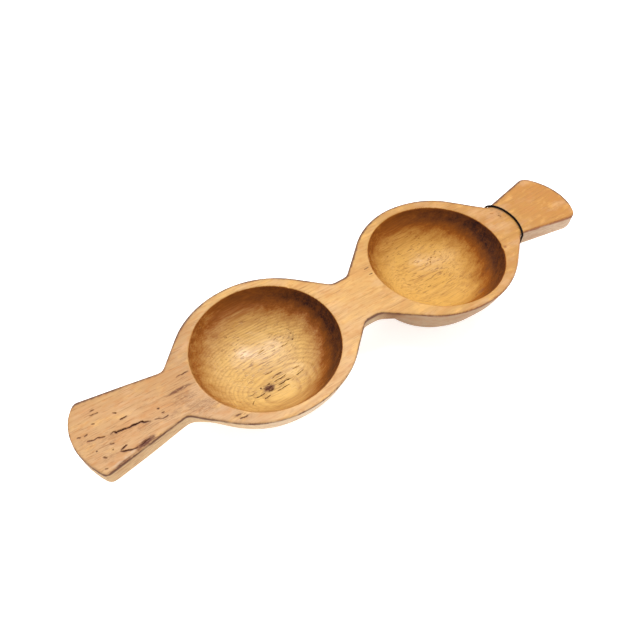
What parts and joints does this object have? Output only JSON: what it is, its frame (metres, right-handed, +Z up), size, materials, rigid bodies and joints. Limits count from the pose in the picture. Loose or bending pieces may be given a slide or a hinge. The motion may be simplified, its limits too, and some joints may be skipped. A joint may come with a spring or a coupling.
{
  "type": "divided serving tray",
  "caption": "Hand-carved wooden serving tray with round bowls side by side, a narrow waist between them, fish-tail handles at the ends and a thin cord tied round one neck.",
  "frame": {"origin": "on the surface that the tray stands on, below the middle of its length and of its greatest width", "axes": "+X along the tray towards the handle with the cord, +Z up out of the bowls, +Y across the tray"},
  "size_m": [0.4442, 0.1268, 0.0451],
  "materials": {
    "carved_wood": "oiled, semi-gloss",
    "black_cord": "waxed, matt"
  },
  "bodies": {
    "root": {"carved_tray": "carved_wood", "neck_cord": "black_cord"}
  },
  "joints": []
}
